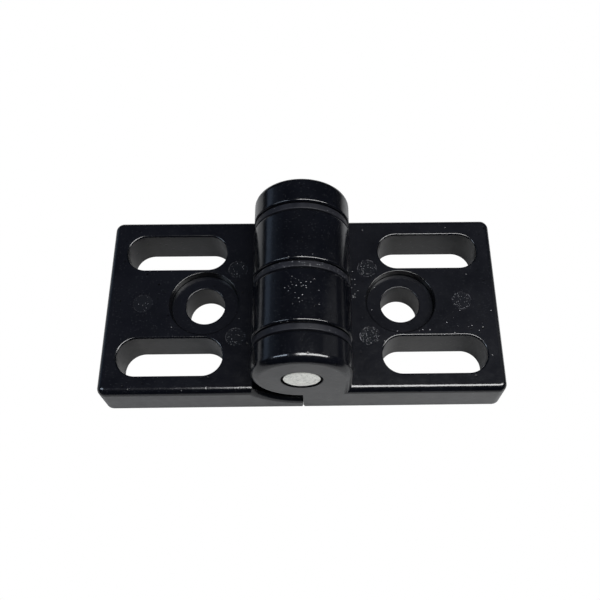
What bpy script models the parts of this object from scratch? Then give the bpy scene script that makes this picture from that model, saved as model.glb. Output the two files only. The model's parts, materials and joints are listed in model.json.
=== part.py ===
"""Heavy cast hinge for slotted aluminium profile: two equal leaves, a steel pin, three thrust washers.

Frame: origin on the seating plane, below the middle of the pin. +X runs across both leaves,
+Y runs along the pin towards the rear, +Z is up. The right leaf (+X) stays still; the left leaf
swings about the pin axis. Each leaf is modelled about the pin axis and placed by its object.
"""

import math

import bmesh
import bpy

MM = 0.001

# Driving dimensions, in millimetres
LEAF_REACH = 45.0         # pin axis to a leaf's outer edge: half of the 90 mm hinge
LEAF_LENGTH = 44.0        # along the pin
PLATE_THICKNESS = 9.5
TONGUE_GAP = 0.5          # between the two leaves' ends at the seat; they are drafted
TONGUE_NEAREST = 0.1      # between them at the hollow's lowest line
PLAN_CORNER = 2.0         # radius of a plate's outer corners, seen from above
EDGE_FILLET = 1.6         # round on the upper outer edges

BARREL_RADIUS = 10.8
AXIS_ABOVE_PLATE = 7.4
PIN_DIAMETER = 8.0
PIN_CLEARANCE = 0.3       # all round the pin
PIN_END_RECESS = 0.1      # the pin stops just short of the outer knuckle faces
PIN_CHAMFER = 0.4

WASHER_THICKNESS = 1.5
WASHER_GAP = 0.35         # on each face of a thrust washer
WASHER_PITCH = 14.35      # between the middle washer and the outer ones
WASHER_INSET = 0.2        # below the barrel's surface
WASHER_CHAMFER = 0.2
KNUCKLE_END_FILLET = 1.9  # at the two ends of the hinge
HOLLOW_FLARE = 1.5        # where a hollow opens at an end of the hinge
KNUCKLE_EDGE_FILLET = 0.45

SCOOP_RADIUS = 13.3       # hollow in a leaf under the other leaf's knuckles

SLOT_WIDTH = 9.0          # clears an M8 screw
SLOT_START = 17.8
SLOT_END = 41.3
SLOT_PITCH = 26.5         # between the two slots of a leaf
HOLE_DISTANCE = 22.5      # pin axis to the middle hole: half of a 45 mm profile
HOLE_DIAMETER = 9.0
COUNTERBORE_DIAMETER = 15.7
COUNTERBORE_DEPTH = 1.9
RIM_FILLET = 0.4

# Derived places, about the pin axis
PLATE_TOP = -AXIS_ABOVE_PLATE
PLATE_BOTTOM = PLATE_TOP - PLATE_THICKNESS
AXIS_HEIGHT = -PLATE_BOTTOM
HALF_LENGTH = LEAF_LENGTH / 2
JOINT_HALF_WIDTH = WASHER_THICKNESS / 2 + WASHER_GAP
OVERRUN = 3.0             # how far a cutter runs past the face that it cuts

# Fineness
ROUND_STEPS = 48          # sides of a full circle
HOLE_STEPS = 32
FILLET_STEPS = 3
CORNER_STEPS = 4
SHARP_ANGLE = math.radians(30)

CAST_BLACK = ("black_coated_casting", (0.013, 0.014, 0.016), 0.42, 0.0)
PIN_STEEL = ("bright_steel", (0.60, 0.59, 0.57), 0.30, 1.0)
WASHER_PLASTIC = ("grey_polymer", (0.045, 0.046, 0.050), 0.55, 0.0)


def clear_scene():
    for old in list(bpy.data.objects):
        bpy.data.objects.remove(old, do_unlink=True)


def loft(name, rings):
    """A closed mesh over rings of equal point counts, given in millimetres, capped at both ends."""
    shape = bmesh.new()
    rows = [[shape.verts.new([value * MM for value in point]) for point in ring] for ring in rings]
    for row, following in zip(rows, rows[1:]):
        for index, corner in enumerate(row):
            after = (index + 1) % len(row)
            shape.faces.new((corner, row[after], following[after], following[index]))
    shape.faces.new(reversed(rows[0]))
    shape.faces.new(rows[-1])
    bmesh.ops.recalc_face_normals(shape, faces=shape.faces)
    mesh = bpy.data.meshes.new(name)
    shape.to_mesh(mesh)
    shape.free()
    return mesh


def turned_about_pin(name, profile, steps=ROUND_STEPS):
    """A solid turned about the pin axis, from (radius, y) pairs."""
    angles = [2 * math.pi * step / steps for step in range(steps)]
    rings = [
        [(radius * math.cos(angle), y, radius * math.sin(angle)) for angle in angles]
        for radius, y in profile
    ]
    return loft(name, rings)


def ring_about_pin(name, inner, profile, steps=ROUND_STEPS):
    """A turned ring about the pin axis: its outer (radius, y) profile, closed by a plain bore."""
    shape = bmesh.new()
    outline = profile + [(inner, profile[-1][1]), (inner, profile[0][1])]
    rows = []
    for step in range(steps):
        angle = 2 * math.pi * step / steps
        turn = (math.cos(angle), math.sin(angle))
        points = [(radius * turn[0], y, radius * turn[1]) for radius, y in outline]
        rows.append([shape.verts.new([value * MM for value in point]) for point in points])
    for step, row in enumerate(rows):
        following = rows[(step + 1) % steps]
        for index, corner in enumerate(row):
            after = (index + 1) % len(row)
            shape.faces.new((corner, row[after], following[after], following[index]))
    bmesh.ops.recalc_face_normals(shape, faces=shape.faces)
    mesh = bpy.data.meshes.new(name)
    shape.to_mesh(mesh)
    shape.free()
    return mesh


def fillet_levels(radius):
    """(inset, depth) pairs of a quarter round, from the flank up to the face it ends at."""
    quarter = [math.pi / 2 * step / FILLET_STEPS for step in range(FILLET_STEPS + 1)]
    return [(radius * (1 - math.cos(turn)), radius * (1 - math.sin(turn))) for turn in quarter]


def plate_outline(inset, z, gap=TONGUE_NEAREST):
    """Plan outline of a leaf's plate; the end under the pin is never inset."""
    inner = gap / 2
    radius = PLAN_CORNER - inset
    corner_x = LEAF_REACH - PLAN_CORNER
    corner_y = HALF_LENGTH - PLAN_CORNER
    points = [(inner, -HALF_LENGTH + inset, z)]
    for middle_y, start in ((-corner_y, -math.pi / 2), (corner_y, 0.0)):
        for step in range(CORNER_STEPS + 1):
            turn = start + math.pi / 2 * step / CORNER_STEPS
            points.append((corner_x + radius * math.cos(turn), middle_y + radius * math.sin(turn), z))
    points.append((inner, HALF_LENGTH - inset, z))
    return points


def plate_mesh():
    rings = [plate_outline(0.0, PLATE_BOTTOM, TONGUE_GAP), plate_outline(0.0, -SCOOP_RADIUS)]
    for inset, depth in fillet_levels(EDGE_FILLET):
        rings.append(plate_outline(inset, PLATE_TOP - depth))
    return loft("plate", rings)


def knuckle_outline(inset, y):
    """Round barrel whose own side drops straight into the plate, at one place along the pin."""
    radius = BARREL_RADIUS - inset
    root_x = 1.4
    root_z = PLATE_TOP - 0.6 * PLATE_THICKNESS
    arc_end = 2 * math.pi - math.acos(root_x / radius)
    points = [(radius, y, root_z)]
    arc_steps = ROUND_STEPS * 3 // 4
    for step in range(arc_steps + 1):
        angle = arc_end * step / arc_steps
        points.append((radius * math.cos(angle), y, radius * math.sin(angle)))
    points.append((root_x, y, root_z))
    return points


def knuckle_mesh(front, rear, front_fillet, rear_fillet):
    rings = []
    for inset, depth in reversed(fillet_levels(front_fillet)):
        rings.append(knuckle_outline(inset, front + depth))
    for inset, depth in fillet_levels(rear_fillet):
        rings.append(knuckle_outline(inset, rear - depth))
    return loft("knuckle", rings)


def scoop_mesh(front, rear):
    """Cutter for the hollow under a foreign knuckle; a hollow at the leaf's end flares out."""
    profile = [(SCOOP_RADIUS, front)]
    if rear >= HALF_LENGTH:
        for inset, depth in fillet_levels(HOLLOW_FLARE):
            profile.append((SCOOP_RADIUS + inset, HALF_LENGTH - depth))
        profile.append((SCOOP_RADIUS + HOLLOW_FLARE, HALF_LENGTH + OVERRUN))
    else:
        profile.append((SCOOP_RADIUS, rear))
    return turned_about_pin("scoop", profile)


def slot_outline(half_width, middle_y, z):
    """A slot along X with round ends."""
    centres = (SLOT_END - SLOT_WIDTH / 2, SLOT_START + SLOT_WIDTH / 2)
    points = []
    for side, centre_x in enumerate(centres):
        for step in range(HOLE_STEPS // 2 + 1):
            turn = -math.pi / 2 + math.pi * side + 2 * math.pi * step / HOLE_STEPS
            points.append((centre_x + half_width * math.cos(turn), middle_y + half_width * math.sin(turn), z))
    return points


def slot_mesh(middle_y):
    half_width = SLOT_WIDTH / 2
    rings = [slot_outline(half_width, middle_y, PLATE_BOTTOM - OVERRUN)]
    for inset, depth in fillet_levels(RIM_FILLET):
        rings.append(slot_outline(half_width + inset, middle_y, PLATE_TOP - depth))
    rings.append(slot_outline(half_width + RIM_FILLET, middle_y, PLATE_TOP + OVERRUN))
    return loft("slot", rings)


def hole_mesh():
    """Cutter for the middle hole and its counterbore."""
    floor = PLATE_TOP - COUNTERBORE_DEPTH
    hole = HOLE_DIAMETER / 2
    bore = COUNTERBORE_DIAMETER / 2
    profile = [(hole, PLATE_BOTTOM - OVERRUN), (hole, floor - RIM_FILLET), (hole + RIM_FILLET, floor)]
    profile += [(bore, floor)]
    profile += [(bore + inset, PLATE_TOP - depth) for inset, depth in fillet_levels(RIM_FILLET)]
    profile += [(bore + RIM_FILLET, PLATE_TOP + OVERRUN)]
    angles = [2 * math.pi * step / HOLE_STEPS for step in range(HOLE_STEPS)]
    rings = [
        [(HOLE_DISTANCE + radius * math.cos(angle), radius * math.sin(angle), z) for angle in angles]
        for radius, z in profile
    ]
    return loft("hole", rings)


def leaf_mesh():
    """One leaf about the pin axis, reaching to +X: its knuckles are the first and the third."""
    first_end = -WASHER_PITCH - JOINT_HALF_WIDTH
    third_start = JOINT_HALF_WIDTH
    third_end = WASHER_PITCH - JOINT_HALF_WIDTH
    bore_radius = PIN_DIAMETER / 2 + PIN_CLEARANCE
    bore_reach = HALF_LENGTH + OVERRUN
    steps = [
        ("DIFFERENCE", scoop_mesh(first_end, third_start)),
        ("DIFFERENCE", scoop_mesh(third_end, HALF_LENGTH)),
        ("UNION", knuckle_mesh(-HALF_LENGTH, first_end, KNUCKLE_END_FILLET, KNUCKLE_EDGE_FILLET)),
        ("UNION", knuckle_mesh(third_start, third_end, KNUCKLE_EDGE_FILLET, KNUCKLE_EDGE_FILLET)),
        ("DIFFERENCE", turned_about_pin(
            "bore", [(bore_radius, -bore_reach), (bore_radius, bore_reach)], HOLE_STEPS)),
        ("DIFFERENCE", slot_mesh(-SLOT_PITCH / 2)),
        ("DIFFERENCE", slot_mesh(SLOT_PITCH / 2)),
        ("DIFFERENCE", hole_mesh()),
    ]
    blank = bpy.data.objects.new("leaf_blank", plate_mesh())
    bpy.context.collection.objects.link(blank)
    cutters = []
    for operation, mesh in steps:
        cutter = bpy.data.objects.new(mesh.name + "_cutter", mesh)
        cutter.hide_render = True
        cutter.display_type = "WIRE"
        bpy.context.collection.objects.link(cutter)
        modifier = blank.modifiers.new(cutter.name, "BOOLEAN")
        modifier.operation = operation
        modifier.solver = "EXACT"
        modifier.object = cutter
        cutters.append(cutter)
    graph = bpy.context.evaluated_depsgraph_get()
    mesh = bpy.data.meshes.new_from_object(blank.evaluated_get(graph))
    mesh.name = "cast_leaf"
    for used in [blank] + cutters:
        bpy.data.objects.remove(used, do_unlink=True)
    return mesh


def pin_mesh():
    radius = PIN_DIAMETER / 2
    end = HALF_LENGTH - PIN_END_RECESS
    profile = [(radius - PIN_CHAMFER, -end), (radius, -end + PIN_CHAMFER)]
    profile += [(radius, end - PIN_CHAMFER), (radius - PIN_CHAMFER, end)]
    return turned_about_pin("pin", profile, HOLE_STEPS)


def washer_mesh():
    outer = BARREL_RADIUS - WASHER_INSET
    half = WASHER_THICKNESS / 2
    profile = [(outer - WASHER_CHAMFER, -half), (outer, -half + WASHER_CHAMFER)]
    profile += [(outer, half - WASHER_CHAMFER), (outer - WASHER_CHAMFER, half)]
    return ring_about_pin("washer", PIN_DIAMETER / 2 + PIN_CLEARANCE, profile)


def material(look):
    name, colour, roughness, metallic = look
    paint = bpy.data.materials.new(name)
    paint.use_nodes = True
    shader = paint.node_tree.nodes["Principled BSDF"]
    shader.inputs["Base Color"].default_value = (*colour, 1.0)
    shader.inputs["Roughness"].default_value = roughness
    shader.inputs["Metallic"].default_value = metallic
    paint.diffuse_color = (*colour, 1.0)
    return paint


def place(name, mesh, paint, along_pin=0.0, turn=0.0):
    """A named piece on the pin axis."""
    piece = bpy.data.objects.new(name, mesh)
    bpy.context.collection.objects.link(piece)
    mesh.shade_smooth()
    mesh.set_sharp_from_angle(angle=SHARP_ANGLE)
    mesh.materials.clear()
    mesh.materials.append(paint)
    piece.location = (0.0, along_pin * MM, AXIS_HEIGHT * MM)
    piece.rotation_euler = (0.0, 0.0, turn)
    return piece


def build():
    clear_scene()
    casting = material(CAST_BLACK)
    steel = material(PIN_STEEL)
    polymer = material(WASHER_PLASTIC)

    leaf = leaf_mesh()
    place("leaf_right", leaf, casting)
    place("leaf_left", leaf, casting, turn=math.pi)
    place("hinge_pin", pin_mesh(), steel)

    washer = washer_mesh()
    for name, position in (("front", -WASHER_PITCH), ("middle", 0.0), ("rear", WASHER_PITCH)):
        place("thrust_washer_" + name, washer, polymer, along_pin=position)


build()
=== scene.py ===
import json
import math

import bmesh
import bpy
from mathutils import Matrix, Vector


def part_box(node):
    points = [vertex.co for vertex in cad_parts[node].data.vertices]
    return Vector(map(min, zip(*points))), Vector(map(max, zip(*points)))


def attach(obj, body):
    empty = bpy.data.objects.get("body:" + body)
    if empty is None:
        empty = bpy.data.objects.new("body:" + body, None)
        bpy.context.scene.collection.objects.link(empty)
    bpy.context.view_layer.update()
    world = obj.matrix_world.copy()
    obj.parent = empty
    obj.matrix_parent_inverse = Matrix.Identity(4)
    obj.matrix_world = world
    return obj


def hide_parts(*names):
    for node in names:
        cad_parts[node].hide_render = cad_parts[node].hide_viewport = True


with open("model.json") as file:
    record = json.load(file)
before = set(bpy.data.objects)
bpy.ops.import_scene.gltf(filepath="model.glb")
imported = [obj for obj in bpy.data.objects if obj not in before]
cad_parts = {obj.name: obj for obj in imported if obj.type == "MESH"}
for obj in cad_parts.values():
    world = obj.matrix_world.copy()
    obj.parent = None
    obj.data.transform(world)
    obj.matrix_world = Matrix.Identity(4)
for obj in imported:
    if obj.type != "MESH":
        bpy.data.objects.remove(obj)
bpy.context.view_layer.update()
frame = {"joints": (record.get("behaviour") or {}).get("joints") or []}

MM = 0.001

# Places read from the frame, in millimetres; each piece is modelled about the pin axis
SWING = frame["joints"][0]
AXIS_HEIGHT = SWING["pos_m"][2] / MM
LEAF_BOX = [Vector(corner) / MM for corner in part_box("leaf_right")]
PIN_BOX = [Vector(corner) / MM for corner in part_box("hinge_pin")]
WASHER_BOX = [Vector(corner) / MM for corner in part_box("thrust_washer_rear")]
LEAF_REACH = LEAF_BOX[1].x
HALF_LENGTH = LEAF_BOX[1].y
BARREL_RADIUS = LEAF_BOX[1].z - AXIS_HEIGHT
PLATE_BOTTOM = -AXIS_HEIGHT
PIN_RADIUS = PIN_BOX[1].x
PIN_END = PIN_BOX[1].y
WASHER_RADIUS = WASHER_BOX[1].x
WASHER_HALF = (WASHER_BOX[1].y - WASHER_BOX[0].y) / 2
WASHER_PITCH = (WASHER_BOX[1].y + WASHER_BOX[0].y) / 2

# Sizes that the boxes don't say, the same as the CAD model's, in millimetres
PLATE_TOP = -7.4             # from the pin axis
TONGUE_GAP = 0.5             # between the two leaves' ends at the seat
PLAN_CORNER = 2.0
EDGE_FILLET = 1.6
PIN_CLEARANCE = 0.3
WASHER_GAP = 0.35
END_FILLET = 1.9             # of the two outer knuckles
HOLLOW_FLARE = 1.5
KNUCKLE_FILLET = 0.45
KNUCKLE_ROOT = (1.4, 5.7)    # where a knuckle's own side ends: out from the axis, down into the plate
SCOOP_RADIUS = 13.3
SLOT_WIDTH = 9.0
SLOT_START = 17.8
SLOT_END = 41.3
SLOT_PITCH = 26.5
HOLE_DISTANCE = 22.5
HOLE_RADIUS = 4.5
COUNTERBORE_RADIUS = 7.85
COUNTERBORE_DEPTH = 1.9
RIM_FILLET = 0.4             # of the slots
OVERRUN = 3.0                # how far a cutter runs past the face that it cuts

# Finer details than the CAD model's, in millimetres
TONGUE_NEAREST = 0.06        # the CAD model leaves 0.1
TONGUE_DRAFT = 1.3           # height over which the gap narrows
SEAT_EDGE = 0.25
FOOT_FILLET = 0.35           # where a knuckle's flank meets the plate
FOOT_BURIED = 0.3            # how far that fillet's solid reaches into knuckle and plate
FOOT_LINE = 11.2             # from the pin axis to the foot of a knuckle's flank
HOLE_RIM_FILLET = 0.2
COUNTERBORE_CORNER = 0.12
MOUTH_STEP = 0.15            # by which the bore is wider at its mouths
MOUTH_START = 0.9            # depth at which a mouth starts to widen
MOUTH_FULL = 0.7             # depth at which it has its full width
MOUTH_EDGE = 0.1
EJECTOR_RADIUS = 2.2
EJECTOR_DEPTH = 0.12
EJECTOR_PLACES = ((15.1, -8.65), (36.6, 0.0), (15.1, 8.65))
PIN_EDGE = ((0.0, 0.35), (0.1, 0.12), (0.35, 0.0))    # (inset, depth) along the pin's broken edge
HUB_STEP = 0.9               # from a washer's rim in to its thicker hub
HUB_CLEARANCE = 0.05         # between the hub and a knuckle
WASHER_EDGE = 0.25

# Fineness
ROUND_STEPS = 144
HOLE_STEPS = 96
FILLET_STEPS = 7
SEAT_EDGE_STEPS = 3
WASHER_EDGE_STEPS = 4
CORNER_STEPS = 12
SHARP_ANGLE = math.radians(32)

# Colours of the black coat
COAT_DARK = (0.0008, 0.0010, 0.0020)
COAT_LIGHT = (0.0018, 0.0021, 0.0036)
COAT_GRIT = (0.013, 0.014, 0.016)
# Painted sheen: faces that look up are coloured lighter for the light they catch, the right leaf more
PAINTED_SHEEN_RIGHT = (0.0053, 0.0056, 0.0073)
PAINTED_SHEEN_LEFT = (0.0036, 0.0039, 0.0058)
# Bright dots: specks, and painted glints where edges catch the light
BRIGHT_FLECK_AND_GLINT = (0.30, 0.30, 0.31)
MARK_FLECK = (0.11, 0.11, 0.12)
MARK_FLOOR = (0.008, 0.009, 0.011)
# Painted highlight on the ejector marks' rims
MARK_RIM_HIGHLIGHT = (0.10, 0.10, 0.11)
# Painted shade in the pits and along the counterbore's rim
PAINTED_SHADE_BLACK = (0.0, 0.0, 0.0)

# Colours of the pin
STEEL_DARK = (0.74, 0.74, 0.68)
STEEL_LIGHT = (0.94, 0.94, 0.89)
STEEL_SCUFF = (0.48, 0.48, 0.46)
STEEL_DENT = (0.26, 0.26, 0.26)
STEEL_RING = (0.40, 0.40, 0.39)

# Colours of the washers
POLYMER_DARK = (0.0030, 0.0034, 0.0056)
POLYMER_LIGHT = (0.0080, 0.0084, 0.0115)
POLYMER_RUBBED = (0.16, 0.16, 0.17)

# Patterns
RIM_SHADE_RADIUS = COUNTERBORE_RADIUS + 0.12    # radius of the painted shade line round the counterbore, in millimetres
RING_SCALE = 400.0                      # of the pin's turning rings, per metre
LEFT_PATTERN_SHIFT = (0.3, 0.1, 0.2)    # in metres, so that the two leaves' patterns differ

# Stage, in metres
FLOOR_REACH = 3.0
FLOOR_DROP = 0.0003
SHEET_FADE = (0.065, 0.105)             # distance from its centre over which the lit sheet ends
SHEET_CENTRE = -0.027                   # the sheet reaches further on the left
SHEET_STRETCH = 1.2                     # of the sheet, across the hinge
SHEET_WHITE = 0.375
SHADE_WHITE = 0.27                      # of the sheet straight under the hinge
SHADE_EDGE = 0.002                      # over which that shade ends inside the hinge's outline
SHEET_END = 0.05
SURROUND = 0.035
SURROUND_BLUE = (0.80, 0.88, 1.0)
PALE_BLUE = (0.72, 0.84, 1.0)
SKY_BLUE = (0.55, 0.72, 1.0)
WINDOW_AIM = (0.0, 0.0, 0.01)
CAMERA_PLACE = (0.003642, -0.076801, 0.162436)
CAMERA_TURN = (25.183, -0.542, -0.888)  # in degrees
SENSOR_WIDTH = 36.0                     # in millimetres, as the next
FOCAL_LENGTH = 44.693
LENS_SHIFT = (-0.05, 0.0348)


# ---------------------------------------------------------------- mesh tools

def mesh_from(shape, name):
    """The mesh of a finished bmesh, with its faces pointing out."""
    bmesh.ops.recalc_face_normals(shape, faces=shape.faces)
    mesh = bpy.data.meshes.new(name)
    shape.to_mesh(mesh)
    shape.free()
    return mesh


def loft(name, rings):
    """A closed mesh over rings of equal point counts, given in millimetres, capped at both ends."""
    shape = bmesh.new()
    rows = [[shape.verts.new([value * MM for value in point]) for point in ring] for ring in rings]
    for row, following in zip(rows, rows[1:]):
        for index, corner in enumerate(row):
            after = (index + 1) % len(row)
            shape.faces.new((corner, row[after], following[after], following[index]))
    shape.faces.new(reversed(rows[0]))
    shape.faces.new(rows[-1])
    return mesh_from(shape, name)


def turned_about_pin(name, profile, steps=ROUND_STEPS):
    """A solid turned about the pin axis, from (radius, y) pairs."""
    angles = [2 * math.pi * step / steps for step in range(steps)]
    rings = [
        [(radius * math.cos(angle), y, radius * math.sin(angle)) for angle in angles]
        for radius, y in profile
    ]
    return loft(name, rings)


def both_ends(rear_half):
    """A whole (radius, y) profile from its rear half, which the front half mirrors."""
    return [(radius, -y) for radius, y in reversed(rear_half)] + rear_half


def turned_upright(name, centre, profile, steps=HOLE_STEPS):
    """A solid turned about a vertical line through centre, from (radius, z) pairs."""
    middle_x, middle_y = centre
    angles = [2 * math.pi * step / steps for step in range(steps)]
    rings = [
        [(middle_x + radius * math.cos(angle), middle_y + radius * math.sin(angle), z) for angle in angles]
        for radius, z in profile
    ]
    return loft(name, rings)


def closed_ring(name, outline, steps=ROUND_STEPS):
    """A turned ring about the pin axis from its closed (radius, y) section."""
    shape = bmesh.new()
    rows = []
    for step in range(steps):
        angle = 2 * math.pi * step / steps
        points = [(radius * math.cos(angle), y, radius * math.sin(angle)) for radius, y in outline]
        rows.append([shape.verts.new([value * MM for value in point]) for point in points])
    for step, row in enumerate(rows):
        following = rows[(step + 1) % steps]
        for index, corner in enumerate(row):
            after = (index + 1) % len(row)
            shape.faces.new((corner, row[after], following[after], following[index]))
    return mesh_from(shape, name)


def fillet_levels(radius, steps=FILLET_STEPS):
    """(inset, depth) pairs of a quarter round, from the flank up to the face it ends at."""
    quarter = [math.pi / 2 * step / steps for step in range(steps + 1)]
    return [(radius * (1 - math.cos(turn)), radius * (1 - math.sin(turn))) for turn in quarter]


def carve(name, blank_mesh, steps):
    """Cuts and joins a list of (operation, mesh) on a blank, and returns the finished mesh."""
    blank = bpy.data.objects.new(name, blank_mesh)
    bpy.context.scene.collection.objects.link(blank)
    tools = []
    for operation, mesh in steps:
        tool = bpy.data.objects.new(mesh.name, mesh)
        bpy.context.scene.collection.objects.link(tool)
        modifier = blank.modifiers.new(tool.name, "BOOLEAN")
        modifier.operation = operation
        modifier.solver = "EXACT"
        modifier.object = tool
        tools.append(tool)
    graph = bpy.context.evaluated_depsgraph_get()
    mesh = bpy.data.meshes.new_from_object(blank.evaluated_get(graph))
    mesh.name = name
    for used in [blank] + tools:
        bpy.data.objects.remove(used, do_unlink=True)
    return mesh


# ---------------------------------------------------------------- the cast leaf

def plate_outline(inset, z, gap=TONGUE_NEAREST):
    """Plan outline of a leaf's plate; the end under the pin is never inset."""
    inner = gap / 2
    radius = PLAN_CORNER - inset
    corner_x = LEAF_REACH - PLAN_CORNER
    corner_y = HALF_LENGTH - PLAN_CORNER
    points = [(inner, -HALF_LENGTH + inset, z)]
    for middle_y, start in ((-corner_y, -math.pi / 2), (corner_y, 0.0)):
        for step in range(CORNER_STEPS + 1):
            turn = start + math.pi / 2 * step / CORNER_STEPS
            points.append((corner_x + radius * math.cos(turn), middle_y + radius * math.sin(turn), z))
    points.append((inner, HALF_LENGTH - inset, z))
    return points


def plate_mesh():
    """The blank plate: a drafted end under the pin, a small edge at the seat, rounds on top."""
    rings = [
        plate_outline(inset, PLATE_BOTTOM + depth, TONGUE_GAP)
        for inset, depth in reversed(fillet_levels(SEAT_EDGE, SEAT_EDGE_STEPS))
    ]
    rings.append(plate_outline(0.0, PLATE_BOTTOM + TONGUE_DRAFT))
    for inset, depth in fillet_levels(EDGE_FILLET):
        rings.append(plate_outline(inset, PLATE_TOP - depth))
    return loft("plate", rings)


def knuckle_outline(inset, y):
    """Round barrel whose own side drops straight into the plate, at one place along the pin."""
    radius = BARREL_RADIUS - inset
    root_x, root_depth = KNUCKLE_ROOT
    root_z = PLATE_TOP - root_depth
    arc_end = 2 * math.pi - math.acos(root_x / radius)
    points = [(radius, y, root_z)]
    arc_steps = ROUND_STEPS * 3 // 4
    for step in range(arc_steps + 1):
        angle = arc_end * step / arc_steps
        points.append((radius * math.cos(angle), y, radius * math.sin(angle)))
    points.append((root_x, y, root_z))
    return points


def knuckle_mesh(front, rear, front_fillet, rear_fillet):
    """One knuckle between two places along the pin, with a round at each end."""
    rings = []
    for inset, depth in reversed(fillet_levels(front_fillet)):
        rings.append(knuckle_outline(inset, front + depth))
    for inset, depth in fillet_levels(rear_fillet):
        rings.append(knuckle_outline(inset, rear - depth))
    return loft("knuckle", rings)


def foot_mesh(front, rear):
    """The small concave round between a knuckle's flank and the plate."""
    inner_x = BARREL_RADIUS - FOOT_BURIED
    lower_z = PLATE_TOP - FOOT_BURIED
    corner_x = BARREL_RADIUS + FOOT_FILLET
    corner_z = PLATE_TOP + FOOT_FILLET
    section = [(inner_x, lower_z), (corner_x, lower_z)]
    for step in range(FILLET_STEPS + 1):
        turn = math.pi / 2 * step / FILLET_STEPS
        section.append((corner_x - FOOT_FILLET * math.sin(turn), corner_z - FOOT_FILLET * math.cos(turn)))
    section.append((inner_x, corner_z))
    return loft("foot", [[(x, y, z) for x, z in section] for y in (front, rear)])


def scoop_mesh(front, rear):
    """Cutter for the hollow under a foreign knuckle; a hollow at the leaf's end flares out."""
    profile = [(SCOOP_RADIUS, front)]
    if rear >= HALF_LENGTH:
        for inset, depth in fillet_levels(HOLLOW_FLARE):
            profile.append((SCOOP_RADIUS + inset, HALF_LENGTH - depth))
        profile.append((SCOOP_RADIUS + HOLLOW_FLARE, HALF_LENGTH + OVERRUN))
    else:
        profile.append((SCOOP_RADIUS, rear))
    return turned_about_pin("scoop", profile)


def slot_outline(half_width, middle_y, z):
    """Plan outline of a slot: two half rounds, joined by its straight sides."""
    centres = (SLOT_END - SLOT_WIDTH / 2, SLOT_START + SLOT_WIDTH / 2)
    points = []
    for side, centre_x in enumerate(centres):
        for step in range(HOLE_STEPS // 2 + 1):
            turn = -math.pi / 2 + math.pi * side + 2 * math.pi * step / HOLE_STEPS
            x = centre_x + half_width * math.cos(turn)
            points.append((x, middle_y + half_width * math.sin(turn), z))
    return points


def slot_mesh(middle_y):
    """Cutter for a slot with a rounded rim."""
    half_width = SLOT_WIDTH / 2
    rings = [slot_outline(half_width, middle_y, PLATE_BOTTOM - OVERRUN)]
    for inset, depth in fillet_levels(RIM_FILLET):
        rings.append(slot_outline(half_width + inset, middle_y, PLATE_TOP - depth))
    rings.append(slot_outline(half_width + RIM_FILLET, middle_y, PLATE_TOP + OVERRUN))
    return loft("slot", rings)


def hole_mesh():
    """Cutter for the middle hole and its counterbore, both with small rounded rims."""
    floor = PLATE_TOP - COUNTERBORE_DEPTH
    rim = fillet_levels(HOLE_RIM_FILLET)
    profile = [(HOLE_RADIUS, PLATE_BOTTOM - OVERRUN)]
    profile += [(HOLE_RADIUS + inset, floor - depth) for inset, depth in rim]
    profile += [(COUNTERBORE_RADIUS - COUNTERBORE_CORNER, floor)]
    profile += [(COUNTERBORE_RADIUS, floor + COUNTERBORE_CORNER)]
    profile += [(COUNTERBORE_RADIUS + inset, PLATE_TOP - depth) for inset, depth in rim]
    profile += [(COUNTERBORE_RADIUS + HOLE_RIM_FILLET, PLATE_TOP + OVERRUN)]
    return turned_upright("hole", (HOLE_DISTANCE, 0.0), profile)


def bore_mesh():
    """Cutter for the pin's bore, slightly wider and with a broken edge at each outer mouth."""
    radius = PIN_RADIUS + PIN_CLEARANCE
    wide = radius + MOUTH_STEP
    rear_half = [(radius, HALF_LENGTH - MOUTH_START), (wide, HALF_LENGTH - MOUTH_FULL)]
    rear_half += [(wide, HALF_LENGTH - MOUTH_EDGE), (wide + MOUTH_EDGE, HALF_LENGTH)]
    rear_half += [(wide + MOUTH_EDGE, HALF_LENGTH + OVERRUN)]
    return turned_about_pin("bore", both_ends(rear_half), HOLE_STEPS)


def ejector_mesh(place):
    """Cutter for a shallow ejector mark whose floor rises a little towards its broken rim."""
    floor = PLATE_TOP - EJECTOR_DEPTH
    flat = 0.85 * EJECTOR_RADIUS
    rise = 0.05
    break_width = 0.08
    break_height = 0.02
    profile = [(flat, floor), (EJECTOR_RADIUS, floor + rise)]
    profile += [(EJECTOR_RADIUS + break_width, PLATE_TOP + break_height)]
    profile += [(EJECTOR_RADIUS + break_width, PLATE_TOP + OVERRUN)]
    return turned_upright("ejector", place, profile)


def leaf_mesh():
    """One leaf about the pin axis, reaching to +X: its knuckles are the first and the third."""
    joint_half = WASHER_HALF + WASHER_GAP
    first_end = -WASHER_PITCH - joint_half
    third_start = joint_half
    third_end = WASHER_PITCH - joint_half
    steps = [
        ("DIFFERENCE", scoop_mesh(first_end, third_start)),
        ("DIFFERENCE", scoop_mesh(third_end, HALF_LENGTH)),
        ("UNION", knuckle_mesh(-HALF_LENGTH, first_end, END_FILLET, KNUCKLE_FILLET)),
        ("UNION", knuckle_mesh(third_start, third_end, KNUCKLE_FILLET, KNUCKLE_FILLET)),
        ("UNION", foot_mesh(EDGE_FILLET - HALF_LENGTH, first_end - KNUCKLE_FILLET)),
        ("UNION", foot_mesh(third_start + KNUCKLE_FILLET, third_end - KNUCKLE_FILLET)),
        ("DIFFERENCE", bore_mesh()),
        ("DIFFERENCE", slot_mesh(-SLOT_PITCH / 2)),
        ("DIFFERENCE", slot_mesh(SLOT_PITCH / 2)),
        ("DIFFERENCE", hole_mesh()),
    ]
    steps += [("DIFFERENCE", ejector_mesh(place)) for place in EJECTOR_PLACES]
    return carve("cast_leaf", plate_mesh(), steps)


# ---------------------------------------------------------------- pin and washers

def pin_mesh():
    """A plain pin with a small two-step chamfer at each end."""
    rear_half = [(PIN_RADIUS - inset, PIN_END - depth) for inset, depth in PIN_EDGE]
    return turned_about_pin("turned_pin", both_ends(rear_half), HOLE_STEPS)


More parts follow.
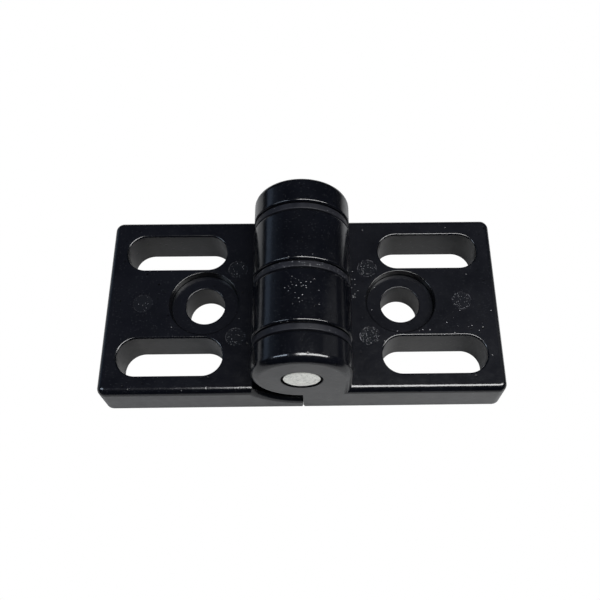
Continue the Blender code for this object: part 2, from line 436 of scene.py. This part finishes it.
def washer_mesh():
    """A ring with a thicker hub, which the knuckles run against."""
    inner = PIN_RADIUS + PIN_CLEARANCE
    hub = WASHER_RADIUS - HUB_STEP
    hub_half = WASHER_HALF + WASHER_GAP - HUB_CLEARANCE
    edge = fillet_levels(WASHER_EDGE, WASHER_EDGE_STEPS)
    section = [(inner, hub_half), (inner, -hub_half), (hub, -hub_half), (hub, -WASHER_HALF)]
    section += [(WASHER_RADIUS - inset, depth - WASHER_HALF) for inset, depth in reversed(edge)]
    section += [(WASHER_RADIUS - inset, WASHER_HALF - depth) for inset, depth in edge]
    section += [(hub, WASHER_HALF), (hub, hub_half)]
    return closed_ring("moulded_washer", section)


# ---------------------------------------------------------------- materials

class Nodes:
    """Short calls for building a material's node tree."""

    def __init__(self, name):
        self.material = bpy.data.materials.new(name)
        self.material.use_nodes = True
        self.tree = self.material.node_tree
        self.shader = self.tree.nodes["Principled BSDF"]
        coordinates = self.add("ShaderNodeTexCoord")
        self.place = coordinates.outputs["Object"]
        self.facing = coordinates.outputs["Normal"]

    def add(self, kind, **settings):
        """A new node of this kind, with its settings."""
        node = self.tree.nodes.new(kind)
        for key, value in settings.items():
            setattr(node, key, value)
        return node

    def join(self, source, target):
        """Links an output socket to an input socket."""
        self.tree.links.new(source, target)

    def noise(self, size, detail=2.0, roughness=0.5):
        """Noise whose features are about size millimetres wide, from 0 to 1."""
        node = self.add("ShaderNodeTexNoise")
        node.inputs["Scale"].default_value = 1 / (size * MM)
        node.inputs["Detail"].default_value = detail
        node.inputs["Roughness"].default_value = roughness
        self.join(self.place, node.inputs["Vector"])
        return node.outputs["Fac"]

    def span(self, source, low, high, to_low, to_high, curve="LINEAR"):
        """Maps low..high on the source to to_low..to_high, clamped."""
        node = self.add("ShaderNodeMapRange", interpolation_type=curve)
        for key, value in (("From Min", low), ("From Max", high), ("To Min", to_low), ("To Max", to_high)):
            node.inputs[key].default_value = value
        self.join(source, node.inputs["Value"])
        return node.outputs["Result"]

    def maths(self, operation, first, second=0.0):
        """One operation on two values, each a number or a socket."""
        node = self.add("ShaderNodeMath", operation=operation)
        for socket, value in zip(node.inputs, (first, second)):
            if isinstance(value, (int, float)):
                socket.default_value = value
            else:
                self.join(value, socket)
        return node.outputs[0]

    def mix(self, factor, first, second):
        """Mixes two colours, each a tuple or a socket."""
        node = self.add("ShaderNodeMix", data_type="RGBA")
        self.join(factor, node.inputs["Factor"])
        for socket, value in ((node.inputs[6], first), (node.inputs[7], second)):
            if isinstance(value, tuple):
                socket.default_value = (*value, 1.0)
            else:
                self.join(value, socket)
        return node.outputs[2]

    def vector(self, operation, first, *fixed):
        """The result of one vector operation on a socket and fixed vectors."""
        node = self.add("ShaderNodeVectorMath", operation=operation)
        self.join(first, node.inputs[0])
        for socket, value in zip(node.inputs[1:], fixed):
            socket.default_value = value
        return node.outputs["Value" if operation in ("DISTANCE", "LENGTH") else "Vector"]

    def part(self, vector, axis):
        """One component of a vector."""
        node = self.add("ShaderNodeSeparateXYZ")
        self.join(vector, node.inputs[0])
        return node.outputs[axis]

    def distance(self, place, centre):
        """Distance in metres from a centre given in millimetres."""
        return self.vector("DISTANCE", place, [value * MM for value in centre])

    def nearness(self, place, centre, radius):
        """1 within half the radius of the centre, fading to 0 at the radius, in millimetres."""
        return self.span(self.distance(place, centre), 0.5 * radius * MM, radius * MM, 1.0, 0.0)

    def flecks(self, size, dot, share, stretch=1.0):
        """Dots of about dot millimetres radius, in the given share of cells of size millimetres.

        The stretch draws dots and cells out along X.
        """
        drawn = self.vector("MULTIPLY", self.place, (1 / stretch, 1.0, 1.0))
        cells = self.add("ShaderNodeTexVoronoi")
        cells.inputs["Scale"].default_value = 1 / (size * MM)
        self.join(drawn, cells.inputs["Vector"])
        channels = self.add("ShaderNodeSeparateColor")
        self.join(cells.outputs["Color"], channels.inputs["Color"])
        picked = self.maths("LESS_THAN", channels.outputs[0], share)
        dots = self.span(cells.outputs["Distance"], 0.6 * dot / size, 1.2 * dot / size, 1.0, 0.0)
        strength = self.span(channels.outputs[1], 0.0, 1.0, 0.2, 1.0)
        return self.maths("MULTIPLY", self.maths("MULTIPLY", picked, dots), strength)

    def bump(self, height, depth, before=None):
        """Bump of a 0 to 1 height that is depth millimetres deep."""
        node = self.add("ShaderNodeBump")
        node.inputs["Strength"].default_value = 1.0
        node.inputs["Distance"].default_value = depth * MM
        self.join(height, node.inputs["Height"])
        if before:
            self.join(before, node.inputs["Normal"])
        return node.outputs["Normal"]


def coat_colour(nodes, on_plate, painted_sheen):
    """Cloudy black with fine grit; faces that look up are painted lighter, a painted sheen for the light
    they catch, more on the plate.
    """
    level = nodes.span(nodes.part(nodes.facing, "Z"), 0.90, 0.995, 0.0, 1.0)
    cloud = nodes.noise(size=9.0, detail=4.0, roughness=0.6)
    colour = nodes.mix(nodes.span(cloud, 0.35, 0.7, 0.0, 1.0), COAT_DARK, COAT_LIGHT)
    # Painted sheen: lighter on faces that look up, for the light they catch, less on the knuckles
    sheen_share = nodes.span(cloud, 0.3, 0.7, 0.45, 1.0)
    sheen_share = nodes.maths("MULTIPLY", sheen_share, nodes.span(on_plate, 0.0, 1.0, 0.22, 1.0))
    colour = nodes.mix(nodes.maths("MULTIPLY", sheen_share, level), colour, painted_sheen)
    grit_share = nodes.span(nodes.noise(size=3.0, detail=3.0), 0.35, 0.7, 0.08, 0.40)
    grit = nodes.flecks(size=0.34, dot=0.12, share=grit_share)
    return nodes.mix(grit, colour, COAT_GRIT)


def fleck_and_glint_share(nodes, local, on_plate, strewn, fleck_and_glint_places):
    """Share of cells with a bright fleck: loosely strewn specks, and dense in the given places, most of
    which are painted glints.
    """
    strewn_share = nodes.span(nodes.noise(size=6.0, detail=3.0), 0.42, 0.75, 0.1 * strewn, strewn)
    share = nodes.maths("MULTIPLY", strewn_share, nodes.span(on_plate, 0.0, 1.0, 0.15, 1.0))
    for centre, radius, most in fleck_and_glint_places:
        near = nodes.nearness(local, centre, radius)
        share = nodes.maths("MAXIMUM", share, nodes.maths("MULTIPLY", near, most))
    return share


def ejector_shares(nodes, local, mark_shares):
    """How gritty the ejector marks' floors are, and how much of their rims carries a painted, broken
    highlight.
    """
    floor_share = 0.0
    rim_highlight_share = 0.0
    for (x, y), most in zip(EJECTOR_PLACES, mark_shares):
        away = nodes.distance(local, (x, y, PLATE_TOP))
        inside = nodes.span(away, 0.95 * EJECTOR_RADIUS * MM, EJECTOR_RADIUS * MM, most, 0.0)
        floor_share = nodes.maths("MAXIMUM", inside, floor_share)
        off_rim = nodes.maths("ABSOLUTE", nodes.maths("SUBTRACT", away, EJECTOR_RADIUS * MM))
        on_rim = nodes.span(off_rim, 0.04 * MM, 0.14 * MM, most, 0.0)
        rim_highlight_share = nodes.maths("MAXIMUM", on_rim, rim_highlight_share)
    return floor_share, rim_highlight_share


def rim_shade_line(nodes, local):
    """A thin painted shade line round the counterbore: how strongly it is coloured black."""
    away = nodes.distance(local, (HOLE_DISTANCE, 0.0, PLATE_TOP))
    off_line = nodes.maths("ABSOLUTE", nodes.maths("SUBTRACT", away, RIM_SHADE_RADIUS * MM))
    return nodes.span(off_line, 0.10 * MM, 0.20 * MM, 0.65, 0.0)


def cast_black(name, shift, painted_sheen, strewn, fleck_and_glint_places, mark_shares):
    """Semi-gloss black coat over a die casting.

    The coat has a wavy peel, cloudy patches, fine grit, black pits and bright flecks, and its
    steep faces are duller. The pits and a line round the counterbore are painted black, a
    painted shade. Faces that look up are painted lighter, a painted sheen for the light they
    catch, more on the plate, and the sheen colour given is the greatest there. The plate holds
    flecks in up to the share strewn of its cells. A place of dense flecks, most of them painted
    glints, is given in millimetres about the pin axis, with a radius and its own share;
    mark_shares gives that share for the floor and the painted rim highlight of each ejector
    mark. The shift, in metres, moves the patterns, and leaves the given places where they are.
    """
    nodes = Nodes(name)
    shader = nodes.shader
    shader.inputs["Metallic"].default_value = 0.0
    shader.inputs["IOR"].default_value = 1.5
    local = nodes.place
    nodes.place = nodes.vector("ADD", local, shift)
    height = nodes.part(local, "Z")
    on_plate = nodes.span(height, (PLATE_TOP + 0.3) * MM, (PLATE_TOP + 1.2) * MM, 1.0, 0.0)

    colour = coat_colour(nodes, on_plate, painted_sheen)
    share = fleck_and_glint_share(nodes, local, on_plate, strewn, fleck_and_glint_places)
    # Bright dots: specks on the plate, and painted glints along the knuckles' edges, the foot and the crest
    flecks = nodes.flecks(size=0.42, dot=0.070, share=share, stretch=1.9)
    colour = nodes.mix(flecks, colour, BRIGHT_FLECK_AND_GLINT)
    floor_share, rim_highlight_share = ejector_shares(nodes, local, mark_shares)
    gritty = nodes.flecks(size=0.30, dot=0.085, share=floor_share)
    colour = nodes.mix(gritty, colour, MARK_FLECK)
    colour = nodes.mix(nodes.span(floor_share, 0.0, 0.1, 0.0, 0.35), colour, MARK_FLOOR)
    # Painted highlight: a broken bright ring on each ejector mark's rim
    broken = nodes.span(nodes.noise(size=1.0, detail=3.0, roughness=0.7), 0.50, 0.58, 0.0, 0.8)
    colour = nodes.mix(nodes.maths("MULTIPLY", rim_highlight_share, broken), colour, MARK_RIM_HIGHLIGHT)
    pits = nodes.flecks(size=1.4, dot=0.26, share=0.28)
    # Painted shade: the pits and the line round the counterbore are coloured black
    colour = nodes.mix(nodes.maths("MAXIMUM", pits, rim_shade_line(nodes, local)), colour, PAINTED_SHADE_BLACK)
    nodes.join(colour, shader.inputs["Base Color"])

    specks = nodes.maths("MAXIMUM", gritty, flecks)
    gloss = nodes.span(nodes.noise(size=2.6, detail=5.0, roughness=0.65), 0.3, 0.7, 0.13, 0.20)
    levelness = nodes.maths("ABSOLUTE", nodes.part(nodes.facing, "Z"))
    duller_sides = nodes.span(levelness, 0.1, 0.4, 0.16, 0.0)
    worn = nodes.maths("ADD", nodes.maths("ADD", gloss, duller_sides), nodes.maths("MULTIPLY", specks, 0.2))
    nodes.join(worn, shader.inputs["Roughness"])

    wave = nodes.bump(nodes.noise(size=1.6, detail=3.0, roughness=0.6), depth=0.026)
    peel = nodes.bump(nodes.noise(size=0.5), depth=0.010, before=wave)
    sunk = nodes.bump(nodes.maths("SUBTRACT", 1.0, pits), depth=0.03, before=peel)
    raised = nodes.bump(specks, depth=0.03, before=sunk)
    nodes.join(raised, shader.inputs["Normal"])
    return nodes.material


def pin_steel():
    """Faced steel end: fine turning rings, scuffs and small dents."""
    nodes = Nodes("faced_steel")
    shader = nodes.shader
    shader.inputs["Metallic"].default_value = 1.0
    cloud = nodes.noise(size=1.6, detail=4.0, roughness=0.6)
    colour = nodes.mix(nodes.span(cloud, 0.3, 0.7, 0.0, 1.0), STEEL_DARK, STEEL_LIGHT)
    scuff = nodes.span(nodes.noise(size=0.7, detail=4.0, roughness=0.75), 0.54, 0.66, 0.0, 0.9)
    colour = nodes.mix(scuff, colour, STEEL_SCUFF)
    dents = nodes.flecks(size=0.50, dot=0.15, share=0.75)
    colour = nodes.mix(dents, colour, STEEL_DENT)
    rings = nodes.add("ShaderNodeTexWave", wave_type="RINGS", rings_direction="Y")
    rings.inputs["Scale"].default_value = RING_SCALE
    rings.inputs["Distortion"].default_value = 1.5
    nodes.join(nodes.place, rings.inputs["Vector"])
    colour = nodes.mix(nodes.span(rings.outputs["Fac"], 0.0, 1.0, 0.0, 0.12), colour, STEEL_RING)
    nodes.join(colour, shader.inputs["Base Color"])
    nodes.join(nodes.span(cloud, 0.3, 0.7, 0.30, 0.45), shader.inputs["Roughness"])
    scratches = nodes.bump(nodes.noise(size=0.25, detail=4.0, roughness=0.7), depth=0.004)
    nodes.join(scratches, shader.inputs["Normal"])
    return nodes.material


def washer_polymer(name, rubbed):
    """Dark grey moulded polymer with a fine matt grain; rubbed is its greatest share of pale flecks."""
    nodes = Nodes(name)
    shader = nodes.shader
    shader.inputs["Metallic"].default_value = 0.0
    shader.inputs["Specular IOR Level"].default_value = 0.22
    cloud = nodes.noise(size=2.5, detail=4.0, roughness=0.6)
    colour = nodes.mix(nodes.span(cloud, 0.3, 0.7, 0.0, 1.0), POLYMER_DARK, POLYMER_LIGHT)
    share = nodes.span(cloud, 0.35, 0.6, 0.2 * rubbed, rubbed)
    flecks = nodes.flecks(size=0.40, dot=0.095, share=share, stretch=1.6)
    colour = nodes.mix(flecks, colour, POLYMER_RUBBED)
    nodes.join(colour, shader.inputs["Base Color"])
    nodes.join(nodes.span(cloud, 0.3, 0.7, 0.42, 0.55), shader.inputs["Roughness"])
    grain = nodes.bump(nodes.noise(size=0.12), depth=0.006)
    nodes.join(grain, shader.inputs["Normal"])
    return nodes.material


# ---------------------------------------------------------------- pieces

def put(name, mesh, material, body, node, along_pin=0.0, turn=0.0):
    """Places a fine mesh on the pin axis in the space of the CAD node that it stands for."""
    piece = bpy.data.objects.new(name, mesh)
    bpy.context.scene.collection.objects.link(piece)
    mesh.shade_smooth()
    mesh.set_sharp_from_angle(angle=SHARP_ANGLE)
    mesh.materials.clear()
    mesh.materials.append(material)
    piece.location = (0.0, along_pin * MM, AXIS_HEIGHT * MM)
    piece.rotation_euler = (0.0, 0.0, turn)
    weighted = piece.modifiers.new("face_weighted_normals", "WEIGHTED_NORMAL")
    weighted.keep_sharp = True
    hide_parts(node)
    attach(piece, body)


def right_coat():
    """The right leaf's coat, with painted glints along its third knuckle's -Y edge and foot, and flecks by
    its front slot.
    """
    # Painted glints along the third knuckle's edge and the foot; flecks by the front slot
    edge = [((x, 1.2, BARREL_RADIUS - 0.2), 1.5, 0.8) for x in (-2.5, 0.5, 3.0)]
    foot = [((FOOT_LINE, y, PLATE_TOP), 1.3, 0.8) for y in (1.5, 3.0, 4.5, 6.0, 7.5)]
    by_slot = [((24.0, -11.0, PLATE_TOP), 9.0, 0.10), ((37.0, -7.0, PLATE_TOP), 9.0, 0.10)]
    fleck_and_glint_places = edge + foot + by_slot
    return cast_black("black_coat_right", shift=(0.0, 0.0, 0.0), painted_sheen=PAINTED_SHEEN_RIGHT, strewn=0.055,
                      fleck_and_glint_places=fleck_and_glint_places, mark_shares=(0.95, 0.6, 0.5))


def left_coat():
    """The left leaf's coat, with painted glints on its third knuckle's crest and along both knuckles' +Y
    edges.
    """
    # Painted glints on the third knuckle's crest and along both knuckles' edges
    crest = [((-0.5, 6.0, BARREL_RADIUS), 4.2, 0.9), ((-3.0, 9.0, BARREL_RADIUS), 2.0, 0.5)]
    third_edge = [((x, 13.4, BARREL_RADIUS - 0.3), 1.4, 1.0) for x in (-5.0, -3.0, -1.0, 1.0, 3.0)]
    first_edge = [((x, -15.4, BARREL_RADIUS), 1.0, 0.6) for x in (-2.0, 0.0, 2.0)]
    fleck_and_glint_places = crest + third_edge + first_edge
    return cast_black("black_coat_left", shift=LEFT_PATTERN_SHIFT, painted_sheen=PAINTED_SHEEN_LEFT, strewn=0.004,
                      fleck_and_glint_places=fleck_and_glint_places, mark_shares=(0.25, 0.15, 0.3))


def build_hinge():
    """The six pieces; the left leaf is the right one turned half round."""
    leaf = leaf_mesh()
    put("leaf_right_casting", leaf, right_coat(), "frame_side", "leaf_right")
    put("leaf_left_casting", leaf.copy(), left_coat(), "door_side", "leaf_left", turn=math.pi)
    put("turned_pin", pin_mesh(), pin_steel(), "frame_side", "hinge_pin")
    washers = (("front", -WASHER_PITCH, 0.12), ("middle", 0.0, 0.9), ("rear", WASHER_PITCH, 0.12))
    for place, position, rubbed in washers:
        polymer = washer_polymer("grey_polymer_" + place, rubbed)
        put("moulded_washer_" + place, washer_mesh(), polymer, "frame_side",
            "thrust_washer_" + place, along_pin=position)


# ---------------------------------------------------------------- floor, light, camera

def seen_and_felt(tree, seen, felt, output):
    """The camera sees one shader and every other ray meets the other."""
    path = tree.nodes.new("ShaderNodeLightPath")
    choice = tree.nodes.new("ShaderNodeMixShader")
    tree.links.new(path.outputs["Is Camera Ray"], choice.inputs[0])
    tree.links.new(felt, choice.inputs[1])
    tree.links.new(seen, choice.inputs[2])
    tree.links.new(choice.outputs[0], output.inputs["Surface"])


def pale_floor():
    """White to the camera; to the hinge a sheet that fades out, a little darker right under it."""
    nodes = Nodes("pale_floor")
    nodes.tree.nodes.remove(nodes.shader)
    squeeze = (1 / SHEET_STRETCH, 1.0, 1.0)
    to_centre = (-SHEET_CENTRE / SHEET_STRETCH, 0.0, 0.0)
    reach = nodes.vector("LENGTH", nodes.vector("MULTIPLY_ADD", nodes.place, squeeze, to_centre))
    fade = nodes.span(reach, *SHEET_FADE, 1.0, SHEET_END, "SMOOTHSTEP")
    aside = nodes.vector("ABSOLUTE", nodes.place)
    half_width = LEAF_REACH * MM
    half_length = HALF_LENGTH * MM
    past_width = nodes.span(nodes.part(aside, "X"), half_width - SHADE_EDGE, half_width, 0.0, 1.0)
    past_length = nodes.span(nodes.part(aside, "Y"), half_length - SHADE_EDGE, half_length, 0.0, 1.0)
    outside = nodes.maths("MAXIMUM", past_width, past_length)
    white = nodes.span(outside, 0.0, 1.0, SHADE_WHITE, SHEET_WHITE)
    sheet = nodes.add("ShaderNodeBsdfDiffuse")
    nodes.join(nodes.maths("MULTIPLY", white, fade), sheet.inputs["Color"])
    glow = nodes.add("ShaderNodeEmission")
    seen_and_felt(nodes.tree, glow.outputs[0], sheet.outputs[0], nodes.tree.nodes["Material Output"])
    return nodes.material


def build_floor():
    """A flat floor just under the hinge's seat."""
    shape = bmesh.new()
    bmesh.ops.create_grid(shape, x_segments=1, y_segments=1, size=FLOOR_REACH)
    mesh = mesh_from(shape, "floor")
    mesh.materials.append(pale_floor())
    floor = bpy.data.objects.new("floor", mesh)
    bpy.context.scene.collection.objects.link(floor)
    floor.location = (0.0, 0.0, -FLOOR_DROP)


def build_world():
    """White to the camera; a dim blue surround for everything that the hinge reflects."""
    world = bpy.data.worlds.new("soft_surround")
    bpy.context.scene.world = world
    world.use_nodes = True
    tree = world.node_tree
    seen = tree.nodes["Background"]
    seen.inputs["Color"].default_value = (1.0, 1.0, 1.0, 1.0)
    felt = tree.nodes.new("ShaderNodeBackground")
    felt.inputs["Color"].default_value = (*SURROUND_BLUE, 1.0)
    felt.inputs["Strength"].default_value = SURROUND
    seen_and_felt(tree, seen.outputs[0], felt.outputs[0], tree.nodes["World Output"])


def area_light(name, place, aim, size, power, colour=(1.0, 1.0, 1.0)):
    """A rectangular lamp at place that faces aim."""
    lamp = bpy.data.lights.new(name, "AREA")
    lamp.shape = "RECTANGLE"
    lamp.size, lamp.size_y = size
    lamp.energy = power
    lamp.color = colour
    light = bpy.data.objects.new(name, lamp)
    bpy.context.scene.collection.objects.link(light)
    light.location = place
    light.rotation_euler = (Vector(aim) - Vector(place)).to_track_quat("-Z", "Y").to_euler()


def build_lights():
    """Strips overhead, which the barrel's round reflects, and windows behind on both sides."""
    area_light("overhead_strip", (0.28, -0.05, 0.42), (0.28, -0.05, 0.0), (0.66, 0.15), 5.4)
    area_light("left_strip", (-0.065, -0.05, 0.42), (-0.065, -0.05, 0.0), (0.03, 0.09), 0.05)
    area_light("far_left_strip", (-0.48, -0.05, 0.42), (-0.48, -0.05, 0.0), (0.50, 0.10), 1.6, PALE_BLUE)
    area_light("side_window", (0.68, 0.28, 0.29), WINDOW_AIM, (0.17, 0.50), 0.06)
    area_light("far_window", (-0.70, 0.28, 0.10), WINDOW_AIM, (0.50, 0.18), 0.15, SKY_BLUE)
    area_light("upper_window", (-0.68, 0.28, 0.27), WINDOW_AIM, (0.50, 0.16), 0.040, SKY_BLUE)
    area_light("top_window", (-0.60, 0.28, 0.42), WINDOW_AIM, (0.50, 0.18), 0.018, SKY_BLUE)


def build_camera():
    """Looks down on the hinge from a little in front of it."""
    lens = bpy.data.cameras.new("camera")
    lens.sensor_width = SENSOR_WIDTH
    lens.lens = FOCAL_LENGTH
    lens.shift_x, lens.shift_y = LENS_SHIFT
    lens.clip_start = 0.01
    lens.clip_end = 10.0
    camera = bpy.data.objects.new("camera", lens)
    bpy.context.scene.collection.objects.link(camera)
    camera.location = CAMERA_PLACE
    camera.rotation_euler = [math.radians(angle) for angle in CAMERA_TURN]
    bpy.context.scene.camera = camera


build_hinge()
build_floor()
build_world()
build_lights()
build_camera()
bpy.context.scene.view_settings.view_transform = "Standard"
